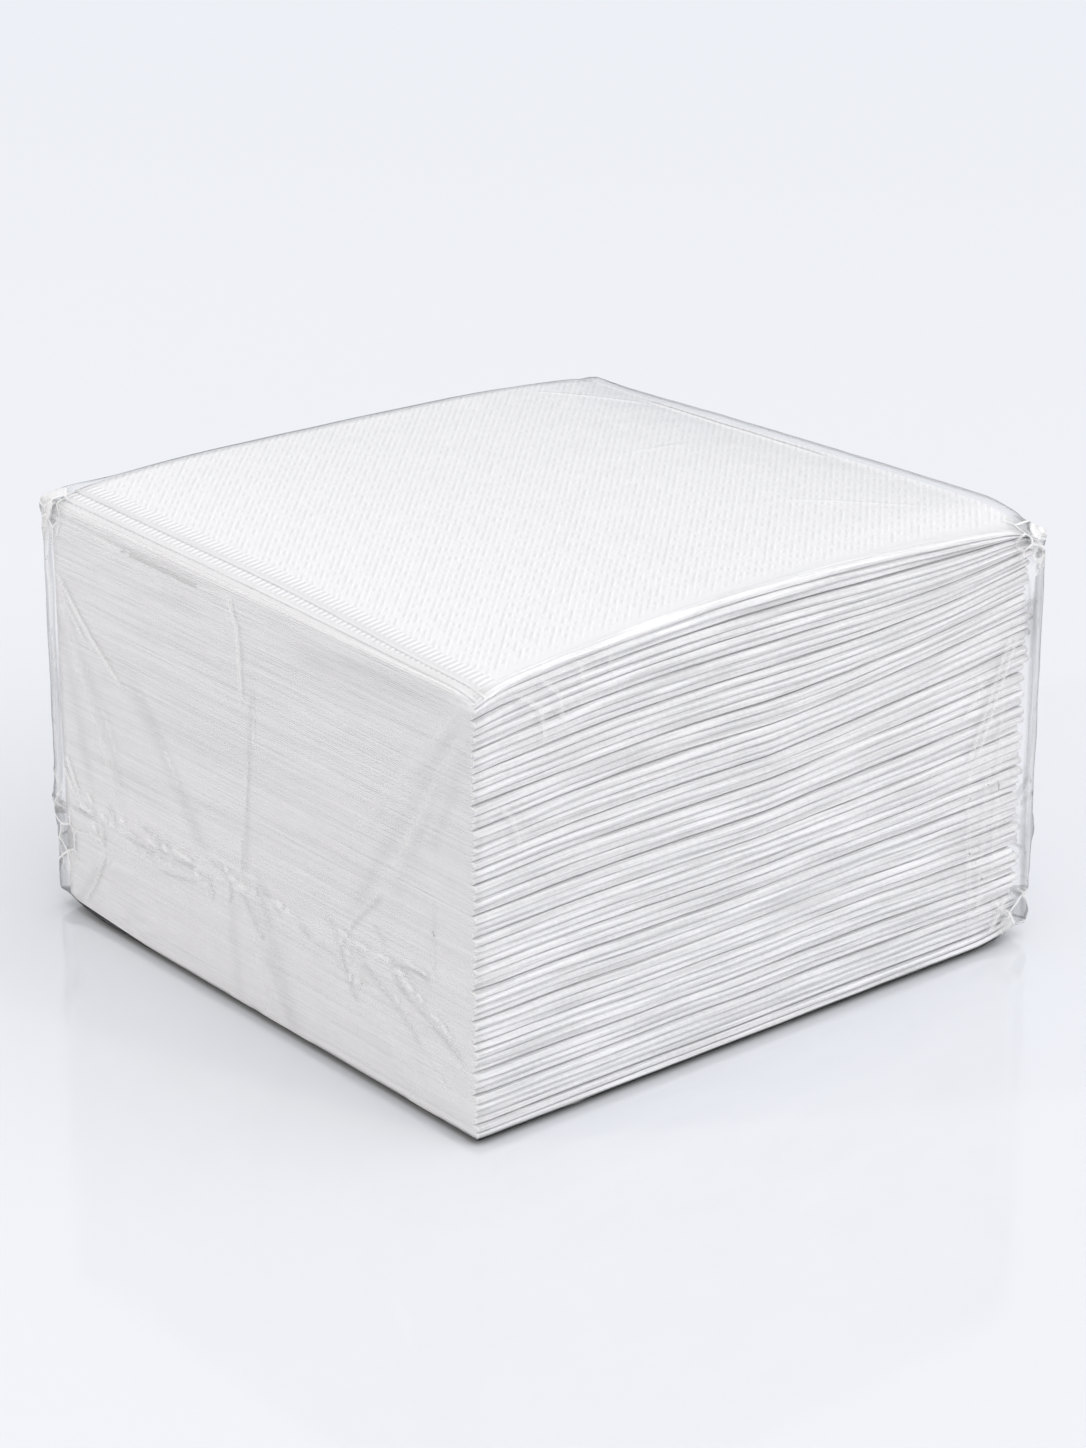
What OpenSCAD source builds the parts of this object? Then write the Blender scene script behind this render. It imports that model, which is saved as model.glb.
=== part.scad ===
// A stack of white paper napkins, each folded twice into a square, in a clear film wrap.
// The fold noses face +X, the cut edges face -Y, and the pack stands on its underside.

/* [Napkins] */
// Napkins in the stack
napkin_count = 58; // [10:1:58]
// Flat sheet, measured across the second fold
sheet_x = 240; // [160:1:400]
// Flat sheet, measured across the first fold
sheet_y = 249; // [160:1:400]
// Thickness of one leaf, which is two plies of tissue
leaf_t = 0.24; // [0.15:0.01:0.4]
// Air between two leaves of one napkin
leaf_gap = 0.1; // [0.06:0.01:0.2]
// Air between two napkins
napkin_gap = 0.085; // [0.05:0.005:0.2]
// How far the middle of the top napkin stands above its cut and folded ends
crown = 4; // [1:0.1:8]
// Crown below which a napkin lies flat
flat_below = 0.4; // [0.3:0.05:1]
// How far the fold noses wander from the face of the stack
nose_wander = 0.35; // [0:0.05:1]
// Extra set-back of the napkins that part one small group from the next
group_step = 0.5; // [0:0.05:1.5]
// How far the stack's first-fold ends wander
end_wander = 0.5; // [0:0.05:1.5]
// How far the top leaf of the stack stops short at the cut edges
top_step = 5; // [0:0.5:10]
// Share of that step that each leaf further down keeps
step_share = 0.42; // [0.2:0.02:0.7]

/* [Film] */
// Thickness of the film as drawn
film_t = 0.1; // [0.05:0.01:0.3]
// Clearance between the film and the stack
film_gap = 0.3; // [0.2:0.05:1]
// Clearance between the film and the underside of the stack
rest_gap = 0.1; // [0.05:0.05:0.5]
// Loose film past the stack at the back, opposite the fold noses
slack = 4; // [1:0.5:8]
// Loose film past the stack at the far end, opposite the cut edges
slack_end = 3; // [1:0.5:8]
// Loose film that is left in the middle of those two faces
slack_mid = 0.8; // [0:0.1:2]
// Height of the end seals above the floor, as a share of the pack's height
seal_level = 0.31; // [0.2:0.01:0.6]
// How far an end seal stands out
seal_proud = 1.2; // [0.4:0.1:3]
// Half the height of an end seal's gathered band
seal_half = 3; // [2:0.5:6]
// Length of one gather along an end seal
gather = 17.6; // [8:0.1:30]
// Share of the seal's stand-out that comes and goes with the gathers
gather_share = 0.6; // [0.2:0.1:0.8]
// How far the folded-in corners of the film stand out on the end faces
gusset_proud = 0.5; // [0:0.1:1.5]
// Reach of a folded-in corner along the seal
gusset_reach = 34; // [15:1:50]
// Width of the slope at the edge of a folded-in corner
gusset_slope = 5; // [2:0.5:10]
// Width of the open slit where the film's long edges meet under the pack
slit = 0.6; // [0.3:0.1:2]
// How far the film's level edges are rounded off
film_edge = 0.3; // [0.1:0.05:0.4]
// How far the film's upright edges are rounded off
film_corner = 0.6; // [0.2:0.1:0.7]

/* [Hidden] */
leaves = 4;
fold_x = sheet_x / 2;
fold_y = sheet_y / 2;
napkin_t = leaves * leaf_t + (leaves - 1) * leaf_gap;
pitch = napkin_t + napkin_gap;
stack_h = napkin_count * pitch;
stack_z = film_t + rest_gap;

// The bends of one napkin: two nested hooks at the second fold, and a hem that joins
// each outer leaf to its inner leaf along the first fold
hook_r = napkin_t / 2;
inner_r = hook_r - leaf_t - leaf_gap;
pair_r = hook_r - leaf_t - leaf_gap / 2;
hem_inset = 0.01;
hem_r = leaf_t + leaf_gap / 2 - hem_inset;
hem_t = leaf_t - 2 * hem_inset;
hem_leg = 0.4;

// Where the stack stands, so that the whole pack is centred on the origin
stack_x = slack / 2;
stack_y = (seal_proud - slack_end) / 2;
nose_x = stack_x + fold_x / 2;

// A fixed draw of small offsets, one per napkin
draw_x = rands(0, 1, napkin_count, 11);
draw_y = rands(-1, 1, napkin_count, 23);

function parts_group(i) = i % 7 == 0 || i % 7 == 3;
function set_back(i) = nose_wander * draw_x[i - 1] + (parts_group(i) ? group_step : 0);
function end_shift(i) = end_wander * draw_y[i - 1];
function level(i) = stack_z + (i - 0.5) * pitch;
function rise(i) = crown * pow(i / napkin_count, 2);
function is_flat(i) = rise(i) < flat_below;

// How far each leaf of a napkin stops short, counted from its top leaf (0) down. Steps
// under least_step are left out.
least_step = 0.1;
function step_of(i, leaf) = top_step * pow(step_share, leaves * (napkin_count - i) + leaf);
function short_leaf(i, leaf) = step_of(i, leaf) < least_step ? 0 : step_of(i, leaf);
function is_stepped(i) = short_leaf(i, 0) > 0;

// The length of the leaves, between the cut edge and the start of the hem
leaf_y = fold_y - hem_r - 2 * end_wander;
function bow_r(i) = (pow(leaf_y / 2, 2) + pow(rise(i), 2)) / (2 * rise(i));
function bow_angle(i) = asin(leaf_y / 2 / bow_r(i));

// The film's surface
film_lo_x = -(fold_x + slack) / 2 - film_gap - film_t;
film_hi_x = -film_lo_x;
film_lo_y = stack_y - fold_y / 2 - film_gap - film_t;
film_hi_y = stack_y + fold_y / 2 + slack_end + film_gap + film_t;
film_end_z = stack_z + stack_h + film_gap + film_t;
seal_z = film_end_z * seal_level;
cols_end = 28;
cols_side = 10;
slit_len = 0.8;
slit_share = slit / (film_hi_y - film_lo_y);
edge_in = 1 - film_edge / film_hi_x;
edge_f = film_edge / film_end_z;
seal_f = seal_half / film_end_z;
film_rows = [
    [slit_len, slit_share, 0],
    [edge_in, edge_in, 0],
    each [for (f = [edge_f, 0.08, 0.16, 0.23]) [1, 1, f]],
    each [for (s = [-1 : 0.5 : 1]) [1, 1, seal_level + s * seal_f]],
    each [for (f = [0.42, 0.5, 0.6, 0.7, 0.8, 0.9, 1 - edge_f]) [1, 1, f]],
    [edge_in, edge_in, 1],
    each [for (k = [0.93, 0.7, 0.45, 0.2]) [k, k, 1]]
];

// The top of the film over a point at this y
function top_z(y) =
    let (s = (y - stack_y) / (fold_y / 2))
    film_end_z + (abs(s) < 1 ? crown * (1 - s * s) : 0);

// Loose film along a face: the most at its two ends and slack_mid between them
function loose(t, most) = slack_mid + (most - slack_mid) * pow(2 * t - 1, 2);

// The gathered seal across an end face, at x and z
function seal_bump(x, z) =
    let (s = max(0, 1 - abs(z - seal_z) / seal_half))
    seal_proud * s * (1 - gather_share * (0.5 - 0.5 * cos(360 * x / gather)));

// The corners of the film that are folded in above the seal
function gusset(x, z) =
    let (up = (z - seal_z) / (film_end_z - seal_z),
         reach = gusset_reach * (1 - up),
         inside = (reach - (film_hi_x - abs(x))) / gusset_slope)
    up < 0 ? 0 : gusset_proud * min(1, max(0, inside));

// One column's place on the outline, as its face (0 to 3) and how far along it stands
function along(n, k, len) = film_corner / len + k / (n - 1) * (1 - 2 * film_corner / len);
film_columns = [
    for (k = [0 : cols_end - 1]) [0, along(cols_end, k, 2 * film_hi_x)],
    for (k = [0 : cols_side - 1]) [1, along(cols_side, k, film_hi_y - film_lo_y)],
    for (k = [0 : cols_end - 1]) [2, along(cols_end, k, 2 * film_hi_x)],
    for (k = [0 : cols_side - 1]) [3, along(cols_side, k, film_hi_y - film_lo_y)]
];

// A point of the film's side, t along its face, with the surface moved in by d.
// z is only used for the bumps of the two end faces.
function side_point(face, t, z, d) =
    let (x = film_lo_x + (film_hi_x - film_lo_x) * t,
         y = film_lo_y + (film_hi_y - film_lo_y) * t,
         bump = seal_bump(x, z) + gusset(x, z))
    face == 0 ? [x * (1 - d / film_hi_x), film_lo_y - bump + d]
    : face == 1 ? [film_hi_x - d, y]
    : face == 2 ? [-x * (1 - d / film_hi_x), film_hi_y - slack_end + loose(t, slack_end) - d]
    : [film_lo_x + slack - loose(t, slack) + d, film_hi_y - (y - film_lo_y)];

function film_point(row, column, d) =
    let (flat = side_point(column[0], column[1], row[2] * film_end_z, d),
         x = flat[0] * row[0],
         y = flat[1] * row[1])
    [x, y, d + row[2] * (top_z(y) - 2 * d)];

function film_skin(d) = [for (row = film_rows) for (column = film_columns) film_point(row, column, d)];

// A hook: a half ring with two straight legs, its nose towards +Y
module hook(outer_r, wall, leg) {
    difference() {
        union() {
            circle(outer_r, $fn = 48);
            translate([-outer_r, -leg]) square([2 * outer_r, leg]);
        }
        circle(outer_r - wall, $fn = 48);
        translate([wall - outer_r, -leg - 1]) square([2 * (outer_r - wall), leg + 1]);
    }
}

// The upper (1) or lower (-1) half of a hook
module half_hook(side, outer_r, wall, leg) {
    intersection() {
        hook(outer_r, wall, leg);
        translate([(side - 1) * outer_r, -leg - 1]) square([2 * outer_r, leg + outer_r + 2]);
    }
}

// Sweeps a hook along the napkin, between two angles of its bow
module bowed(radius, from, to) {
    rotate(a = 180, v = [1, 0, 1])
        rotate([0, 0, from])
            rotate_extrude(angle = to - from, $fn = 240)
                translate([radius, 0])
                    children();
}

// Sweeps a hook along a flat napkin, from the cut edge to the first fold
module straight(length) {
    translate([0, -length / 2, 0])
        rotate(a = -120, v = [1, 1, 1])
            linear_extrude(length)
                children();
}

// The hem along the first fold, round the nose of the second fold and back
module hem(leg) {
    for (side = [-1, 1])
        translate([0, 0, side * pair_r])
            rotate([0, -90, 0])
                linear_extrude(leg)
                    hook(hem_r, hem_t, hem_leg);
    rotate(a = -120, v = [1, 1, 1])
        rotate_extrude(angle = 180, $fn = 72)
            translate([pair_r, 0])
                hook(hem_r, hem_t, hem_leg);
}

// A hook whose upper and lower leaf stop short by their own steps at the cut edge
module stepped_hook(i, r, a, upper, lower, outer_r, leg) {
    bowed(r, -a, a - asin(short_leaf(i, upper) / r)) half_hook(1, outer_r, leaf_t, leg);
    bowed(r, -a, a - asin(short_leaf(i, lower) / r)) half_hook(-1, outer_r, leaf_t, leg);
}

module napkin(i) {
    leg = fold_x - hook_r - set_back(i);
    color("white")
        translate([nose_x - set_back(i) - hook_r, stack_y + end_shift(i), level(i)]) {
            if (is_flat(i)) {
                straight(leaf_y) hook(hook_r, leaf_t, leg);
                straight(leaf_y) hook(inner_r, leaf_t, leg);
                translate([0, leaf_y / 2, 0]) hem(leg);
            } else {
                r = bow_r(i);
                a = bow_angle(i);
                translate([0, 0, rise(i) - r]) {
                    if (is_stepped(i)) {
                        stepped_hook(i, r, a, 0, 3, hook_r, leg);
                        stepped_hook(i, r, a, 1, 2, inner_r, leg);
                    } else {
                        bowed(r, -a, a) hook(hook_r, leaf_t, leg);
                        bowed(r, -a, a) hook(inner_r, leaf_t, leg);
                    }
                    translate([0, r * sin(a), r * cos(a)]) rotate([-a, 0, 0]) hem(leg);
                }
            }
        }
}

// A closed skin with an outer and an inner side, open only at the slit under the pack
module film_wrap() {
    n = len(film_columns);
    rows = len(film_rows);
    skin = n * rows;
    top = [0, 0, top_z(0)];
    points = concat(film_skin(0), [top], film_skin(film_t), [top - [0, 0, film_t]]);
    inner = skin + 1;
    faces = [
        for (r = [0 : rows - 2]) for (c = [0 : n - 1])
            let (a = r * n + c, b = r * n + (c + 1) % n)
            each [[a, a + n, b], [b, a + n, b + n],
                  [inner + a, inner + b, inner + a + n], [inner + b, inner + b + n, inner + a + n]],
        for (c = [0 : n - 1])
            let (a = (rows - 1) * n + c, b = (rows - 1) * n + (c + 1) % n)
            each [[a, skin, b], [inner + a, inner + b, inner + skin]],
        for (c = [0 : n - 1])
            let (b = (c + 1) % n)
            each [[c, b, inner + c], [b, inner + b, inner + c]]
    ];
    color([0.93, 0.95, 0.98, 0.35]) polyhedron(points, faces, convexity = 6);
}

function napkin_name(i) = str("napkin_", i < 10 ? "0" : "", i);

for (i = [1 : napkin_count]) napkin(i);
film_wrap();
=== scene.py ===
# %% [markdown]
# A stack of white paper napkins in a clear film wrap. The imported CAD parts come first. They give the
# place and size of every napkin and of the film, and everything below is fitted to them.

# %% Load the frame
import math

import bmesh
import bpy
from mathutils import Matrix, Vector, noise


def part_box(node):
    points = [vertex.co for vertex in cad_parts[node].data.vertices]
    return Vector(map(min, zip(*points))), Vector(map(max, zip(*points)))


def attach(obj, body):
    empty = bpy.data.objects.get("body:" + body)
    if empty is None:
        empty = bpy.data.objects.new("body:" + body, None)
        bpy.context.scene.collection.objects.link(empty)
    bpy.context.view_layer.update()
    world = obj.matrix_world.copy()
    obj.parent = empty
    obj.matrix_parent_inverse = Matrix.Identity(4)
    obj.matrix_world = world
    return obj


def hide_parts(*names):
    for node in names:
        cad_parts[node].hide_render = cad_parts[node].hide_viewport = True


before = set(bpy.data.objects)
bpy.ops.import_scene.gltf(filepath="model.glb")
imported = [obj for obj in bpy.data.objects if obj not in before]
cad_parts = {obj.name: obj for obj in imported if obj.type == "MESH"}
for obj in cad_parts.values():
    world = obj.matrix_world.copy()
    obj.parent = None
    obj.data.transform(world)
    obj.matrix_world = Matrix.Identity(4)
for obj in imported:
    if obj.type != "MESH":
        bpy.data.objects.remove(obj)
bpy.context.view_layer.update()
MM = 0.001

# %% [markdown]
# The camera stands where the picture was taken: some 0.6 m off the corner where the cut edges meet the
# folds, above the pack and looking down on it. A long lens keeps the block square.

# %% Camera
camera_place = Vector((500.72, -410.79, 299.72)) * MM
camera_pitch = 21.97
camera_turn = 50.52
camera_lens = 96.81


def new_object(name, data):
    """A new object in the scene, at the origin."""
    piece = bpy.data.objects.new(name, data)
    bpy.context.scene.collection.objects.link(piece)
    return piece


camera = new_object("camera", bpy.data.cameras.new("camera"))
camera.data.lens = camera_lens
camera.location = camera_place
camera.rotation_euler = (math.radians(90 - camera_pitch), 0, math.radians(camera_turn))
bpy.context.scene.camera = camera
bpy.context.scene.view_settings.view_transform = "Standard"
print("camera to the foot of the pack, m:", round(camera_place.length, 2))

# %% [markdown]
# Small helpers serve every material. One turns a hex colour into the linear values that the renderer
# works in. Another adds a node, sets it and links it in one line. Five more do so for the nodes that come
# up most.

# %% Colour and node helpers


def linear(hex_colour):
    """An sRGB hex colour as linear red, green, blue and alpha."""
    shares = [int(hex_colour[i:i + 2], 16) / 255 for i in (0, 2, 4)]
    return [v / 12.92 if v < 0.04045 else ((v + 0.055) / 1.055) ** 2.4 for v in shares] + [1]


def add(tree, kind, sockets=None, **settings):
    """Adds a node with its settings, and gives each named socket a value or a link."""
    node = tree.nodes.new("ShaderNode" + kind)
    for name, value in settings.items():
        setattr(node, name, value)
    for key, value in (sockets or {}).items():
        if isinstance(value, bpy.types.NodeSocket):
            tree.links.new(value, node.inputs[key])
        else:
            node.inputs[key].default_value = value
    return node


def new_material(name):
    """An empty node material, and its node tree."""
    material = bpy.data.materials.new(name)
    material.use_nodes = True
    material.node_tree.nodes.clear()
    return material, material.node_tree


def calc(tree, operation, a, b=0.5):
    """A sum on one or two values, each a socket or a number."""
    return add(tree, "Math", {0: a, 1: b}, operation=operation).outputs[0]


def ramp(tree, value, low, high, at_low=0.0, at_high=1.0):
    """Carries a value over from the span low to high to the span at_low to at_high."""
    return add(tree, "MapRange", {0: value, 1: low, 2: high, 3: at_low, 4: at_high}).outputs[0]


def grain(tree, place, scale, detail):
    """Soft random values about 0.5 all over a space."""
    return add(tree, "TexNoise", {"Vector": place, "Scale": scale, "Detail": detail}).outputs[0]


def blend(tree, share, a, b):
    """Goes from value a to value b with the share."""
    return add(tree, "Mix", {0: share, 2: a, 3: b}, data_type="FLOAT").outputs[0]


def tinge(tree, share, a, b):
    """Goes from colour a to colour b with the share."""
    return add(tree, "Mix", {0: share, 6: a, 7: b}, data_type="RGBA").outputs[2]


def show(tree, shader):
    """Sends a shader to the material's output."""
    add(tree, "OutputMaterial", {"Surface": shader.outputs[0]})


# %% [markdown]
# The pack stands on a pale, polished table top. A wide sheet under it takes the shadow and gives back a
# faint mirror image, as the smooth lacquer of such a table does at a low angle.

# %% Floor
floor_reach = 3.0
floor_mesh = bpy.data.meshes.new("floor")
bm = bmesh.new()
bmesh.ops.create_grid(bm, x_segments=1, y_segments=1, size=floor_reach)
bm.to_mesh(floor_mesh)
bm.free()
floor = new_object("floor", floor_mesh)


def polished_table():
    """White lacquered board: an even colour under smooth lacquer that mirrors a little."""
    material, tree = new_material("white_lacquered_board")
    shader = add(tree, "BsdfPrincipled", {
        "Base Color": linear("E5E7EC"), "Roughness": 0.08, "Specular IOR Level": 1.0})
    show(tree, shader)
    return material


floor.data.materials.append(polished_table())

# %% [markdown]
# The light is that of a white studio. The whole sky is an even, slightly warm glow, but the camera, the
# mirror images and whatever is seen through the film get a plain pale backdrop in its place. One very
# broad lamp stands high on the side of the folds, so the top is the brightest face and the cut edges are
# the dullest. Two narrow softboxes, one before each front face, put small bright lines on the creases.

# %% Sky and lamps
sky_glow = 0.70
sky_colour = linear("EEF2F9")
world = bpy.data.worlds.new("studio")
bpy.context.scene.world = world
world.use_nodes = True
sky = world.node_tree
sky.nodes.clear()
path = add(sky, "LightPath")
seen = calc(sky, "MAXIMUM", path.outputs["Is Camera Ray"], path.outputs["Is Glossy Ray"])
seen_through = calc(sky, "MAXIMUM", seen, path.outputs["Is Transmission Ray"])
glow = add(sky, "Background", {"Color": linear("FFFCF8"), "Strength": sky_glow})
backdrop = add(sky, "Background", {"Color": sky_colour, "Strength": 1.0})
either = add(sky, "MixShader", {0: seen_through, 1: glow.outputs[0], 2: backdrop.outputs[0]})
add(sky, "OutputWorld", {"Surface": either.outputs[0]})


def sun(name, towards, strength, spread, colour):
    """A lamp so far off that its light is parallel, as wide in the sky as spread degrees."""
    lamp = bpy.data.lights.new(name, "SUN")
    lamp.energy = strength
    lamp.color = linear(colour)[:3]
    lamp.angle = math.radians(spread)
    new_object(name, lamp).rotation_euler = Vector(towards).to_track_quat("Z", "Y").to_euler()


def softbox(name, place, aim, width, height, power, colour):
    """A flat lamp that shines from place towards aim, both in metres."""
    lamp = bpy.data.lights.new(name, "AREA")
    lamp.color = linear(colour)[:3]
    lamp.shape = "RECTANGLE"
    lamp.size = width
    lamp.size_y = height
    lamp.energy = power
    piece = new_object(name, lamp)
    piece.location = place
    piece.rotation_euler = (Vector(place) - Vector(aim)).to_track_quat("Z", "Y").to_euler()


pack_middle = (0, 0, 0.04)
sun("high_lamp", towards=(0.45, 0.16, 1.0), strength=1.38, spread=80, colour="F1F6FF")
softbox("strip_lamp", (-0.45, -1.0, 0.38), pack_middle, 0.06, 0.50, power=1.75, colour="FFF7EE")
softbox("side_strip_lamp", (1.0, 0.25, 0.8), pack_middle, 0.10, 0.60, power=1.35, colour="FFF2DE")

# %% [markdown]
# A napkin is one square of two-ply tissue, folded in half and in half again. Its sizes are those of the
# flat sheet. The nodes of the frame say how thick one folded napkin is and how they lie on each other.

# %% Sizes of the stack
sheet_across = 240 * MM
sheet_long = 249 * MM
leaf_t = 0.24 * MM
leaf_air = 0.10 * MM
names = sorted(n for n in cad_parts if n.startswith("napkin_"))
count = len(names)
boxes = [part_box(n) for n in names]
folded_t = boxes[0][1].z - boxes[0][0].z
pitch = boxes[1][0].z - boxes[0][0].z
stack_foot = boxes[0][0].z - (pitch - folded_t) / 2
stack_height = count * pitch
crown = boxes[-1][1].z - (stack_foot + stack_height - (pitch - folded_t) / 2)
back_x = boxes[0][0].x
nose_x = max(high.x for _, high in boxes)
cut_y = min(low.y for low, _ in boxes)
hem_y = max(high.y for _, high in boxes)
middle_y = (cut_y + hem_y) / 2
half_y = (hem_y - cut_y) / 2
stack_top = stack_foot + stack_height
print(count, "napkins, each", round(folded_t / MM, 2), "mm thick, in a stack", round(stack_height / MM, 1),
      "mm high with a crown of", round(crown / MM, 1), "mm")

# %% [markdown]
# Pressed paper doesn't lie in even layers. Small gaps open and close between the napkins, and every few
# napkins a wider one shows where a handful was laid down. Each gap is a slow wave along the pack, and
# the levels of all the napkins are the sum of what lies under them.

# %% Levels of the napkins
steps_y = 130
tight_gap = 0.03 * MM
loose_gap = 0.10 * MM
handful_gap = 0.26 * MM
short_wave = 14 * MM
long_wave = 40 * MM
leaf_inset = 0.04


def smooth(t):
    """A soft step from 0 to 1."""
    t = min(1.0, max(0.0, t))
    return t * t * (3 - 2 * t)


def starts_handful(i):
    """True where napkin i is the first of a handful, as two of every seven are."""
    return i % 7 in (0, 3)


def gap_under(i, y):
    """The air under napkin i at one place along the pack."""
    wave = 0.5 + 0.5 * noise.noise(Vector((i * 5.17, y / short_wave, 3.1)))
    slow = smooth(0.5 + 0.9 * noise.noise(Vector((i * 2.71, y / long_wave, 9.7))))
    return tight_gap + loose_gap * wave + (handful_gap * slow if starts_handful(i) else 0)


# For each place, and each napkin there: its foot, its thickness and the room up to the next one, all as
# shares of the stack's height.
level_table = []
for k in range(steps_y + 1):
    y = cut_y + (hem_y - cut_y) * k / steps_y
    level, column = 0.0, []
    for i in range(1, count + 1):
        level += gap_under(i, y)
        column.append(level)
        level += folded_t
    tops = column[1:] + [level]
    level_table.append([[foot / level, folded_t / level, (top - foot) / level]
                        for foot, top in zip(column, tops)])
print("levels worked out at", len(level_table), "places along the pack")


def share_of_stack(i, y, rise, fringe):
    """How far up the stack a point of napkin i is, from 0 to 1, rise being its share of the napkin.

    Fringe is 1 at a cut edge, where the leaves are fluffy and fill the air between them, and else 0.
    """
    k = min(steps_y, max(0.0, (y - cut_y) / (hem_y - cut_y) * steps_y))
    a = min(steps_y - 1, int(k))
    foot, thick, room = [(1 - k + a) * level_table[a][i - 1][j] + (k - a) * level_table[a + 1][i - 1][j]
                         for j in range(3)]
    leaf = min(3, int((rise * folded_t + leaf_air / 2) / (leaf_t + leaf_air)))
    inside = (rise * folded_t - leaf * (leaf_t + leaf_air)) / leaf_t
    even = (leaf + leaf_inset + (1 - 2 * leaf_inset) * inside) / 4
    return foot + (1 - fringe) * rise * thick + fringe * even * room


# %% [markdown]
# The block isn't a plain box either. It is crowned in the middle, less so at the back. At the far end the
# hems are thicker than the cut edges, so the layers climb, and the film pinches the topmost ones together
# at the corner. All round the foot the tight film draws the lowest napkins up off the table.

# %% Shape of the whole stack
far_swell = 0.92
far_top_rise = 1.7 * MM
back_flat = 1.4 * MM
back_square = 2.6 * MM
back_lean = 1.1 * MM
corner_dip = 1.7 * MM
corner_reach = 8 * MM
corner_power = 24
foot_lift = 0.8 * MM
foot_reach = 5 * MM
foot_corner = 2.0 * MM
foot_corner_reach = 12 * MM
foot_power = 10


def stack_level(share, x, y):
    """The height of a point that lies that share of the way up the stack, over x and y."""
    s = min(1.0, max(-1.0, (y - middle_y) / half_y))
    u = min(1.0, max(0.0, (x - back_x) / (nose_x - back_x)))
    z = stack_foot + stack_height * share + crown * share * share * (1 - s * s)
    far = max(0.0, s) ** (1.3 + 1.7 * smooth((share - 0.65) / 0.3))
    z += stack_height * far_swell * share ** 3 * (1 - share) * far
    z += far_top_rise * share ** 4 * max(0.0, s) ** 1.3 * smooth(u / 0.9) * smooth((1 - u) / 0.12)
    flatter = (1 - s * s) * (back_flat - back_square * s * s) + back_lean * s
    z -= flatter * share ** 3 * (1 - u) ** 1.3
    to_fold = max(0.0, (nose_x - x) / corner_reach)
    for end_y in (cut_y, hem_y):
        near = math.hypot(to_fold, (y - end_y) / corner_reach)
        z -= corner_dip * share ** corner_power * max(0.0, 1 - near) ** 2
    return z + foot_rise(share, x, y)


def foot_rise(share, x, y):
    """How far the lower rim of the pack is drawn up off the table by the film."""
    in_x, in_y = max(0.0, min(nose_x - x, x - back_x)), max(0.0, min(y - cut_y, hem_y - y))
    rim = foot_lift * (1 - share) ** foot_power * max(0.0, 1 - min(in_x, in_y) / foot_reach) ** 2
    if x > 0 and y < 0:
        return rim  # The near corner stays down on the table
    corner = max(0.0, 1 - math.hypot(in_x, in_y) / foot_corner_reach) ** 2
    return rim + foot_corner * (1 - share) ** foot_power * corner


print("height at the middle and the back, mm:",
      [round(stack_level(1.0, x, middle_y) / MM, 1) for x in (0, back_x)])

# %% [markdown]
# Folding is done on the flat sheet, as in the factory. A thin slab is first folded along its middle,
# which makes the hem at the far end, and then folded across, which makes the nose that faces the front.
# Every corner of the slab is carried round both bends, so the leaves keep their thickness and the paper
# keeps its length. A modifier could thicken a bare sheet, but it would close up the tight inner bends.

# %% Fold a point of the flat sheet
leaf_step = leaf_t + leaf_air
hem_radius = leaf_step / 2
nose_radius = folded_t / 2 - leaf_t - leaf_air / 2
nose_stretch = 1.3


def first_fold(along, t):
    """Turns the sheet back on itself: the distance from the hem's centre, and the height off the fold."""
    half_turn = math.pi / 2 * hem_radius
    if abs(along) < half_turn:
        angle = along / hem_radius
        return (hem_radius + t) * math.cos(angle), -(hem_radius + t) * math.sin(angle)
    side = -1 if along > 0 else 1
    return half_turn - abs(along), side * (hem_radius + t)


def second_fold(across, off):
    """Turns the doubled strip round the nose: the distance from the nose's centre, and the height."""
    half_turn = math.pi / 2 * nose_radius
    if abs(across) < half_turn:
        angle = across / nose_radius
        return (nose_radius + off) * math.cos(angle) * nose_stretch, (nose_radius + off) * math.sin(angle)
    side = 1 if across > 0 else -1
    return half_turn - abs(across), side * (nose_radius + off)


print("bend radius at the nose and hem, mm:", round(nose_radius / MM, 2), round(hem_radius / MM, 2))

# %% [markdown]
# The slab has close rows of points only where it bends. Along the pack they are else 3 mm apart, which is
# enough for the crown and the waves. Across it only the topmost napkins need as many. A napkin comes to
# about 9,000 triangles, and each of the three topmost to 15,000.

# %% The rows of the flat slab
# Millimetres from the middle of the sheet
leg_rows = [118, 90, 60, 32, 14, 6, 2.4]
leg_rows_top = [118, 108, 98, 88, 78, 68, 58, 48, 38, 28, 20, 14, 9, 5, 2.4]
hem_rows = 6
nose_rows = 8
close_napkins = 3
row_step = 3.0 * MM
half_long = sheet_long / 2
half_across = sheet_across / 2


def mirrored(distances):
    """Distances from the middle, as rows on both sides of it."""
    return sorted([-d for d in distances] + list(distances))


def bend_rows(radius, steps):
    """Rows that follow one half turn of the paper."""
    reach = math.pi / 2 * radius
    return [reach * (2 * k / steps - 1) for k in range(steps + 1)]


def rows_across(on_top):
    """Rows over the second fold."""
    legs = leg_rows_top if on_top else leg_rows
    return sorted(mirrored([half_across] + [d * MM for d in legs]) + bend_rows(nose_radius, nose_rows))


def rows_along():
    """Rows over the first fold."""
    steps = int(half_long / row_step)
    legs = [half_long - k * (half_long - 2 * leaf_step) / steps for k in range(steps + 1)]
    return sorted(mirrored(legs) + bend_rows(hem_radius, hem_rows))


print("rows of a slab:", len(rows_across(False)), "across and", len(rows_along()), "along")

# %% [markdown]
# No two napkins are folded quite alike. The nose of each one wanders a little along the pack, its cut
# edges are a hair off each other, and the leaves of the topmost napkins stop short in small steps.

# %% How each napkin differs
nose_wander = 0.30 * MM
nose_wave = 22 * MM
nose_ripple = 5 * MM
nose_bulge = 0.15 * MM
edge_wander = 0.12 * MM
hem_wander = 0.5 * MM
top_step = 5.0 * MM
step_share = 0.42
step_fade = 65 * MM


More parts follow.
